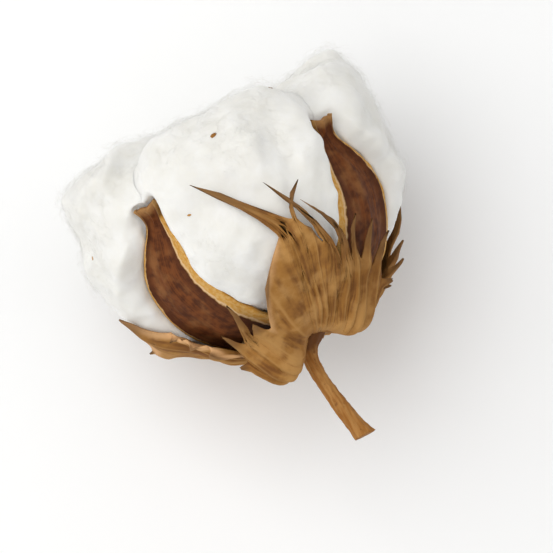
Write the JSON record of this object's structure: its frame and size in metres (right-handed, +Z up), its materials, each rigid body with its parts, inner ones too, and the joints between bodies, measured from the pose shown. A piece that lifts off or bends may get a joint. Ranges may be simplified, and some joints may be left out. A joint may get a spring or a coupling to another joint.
{
  "type": "cotton boll",
  "caption": "Ripe, open cotton boll picked with its stalk: white lint bulging between the pointed valves of a dry brown bur, clasped by toothed bracts.",
  "frame": {"origin": "middle of the bounding box, on the surface that the boll lies on", "axes": "+Z up from the surface, +Y along the boll's axis from the stalk to the crown, +X to the right of the front bract"},
  "size_m": [0.067, 0.074, 0.0643],
  "materials": {
    "lint": "soft matt white fibre",
    "bur": "dry, dark brown, faintly satin",
    "bract": "dry papery leaf, matt tan",
    "stalk": "dry orange-brown bark, matt"
  },
  "bodies": {
    "root": {"lock_front": "lint", "lock_right": "lint", "lock_under": "lint", "lock_left": "lint", "bur": "bur", "bract_front": "bract", "bract_under": "bract", "bract_left": "bract", "stalk": "stalk"}
  },
  "joints": []
}
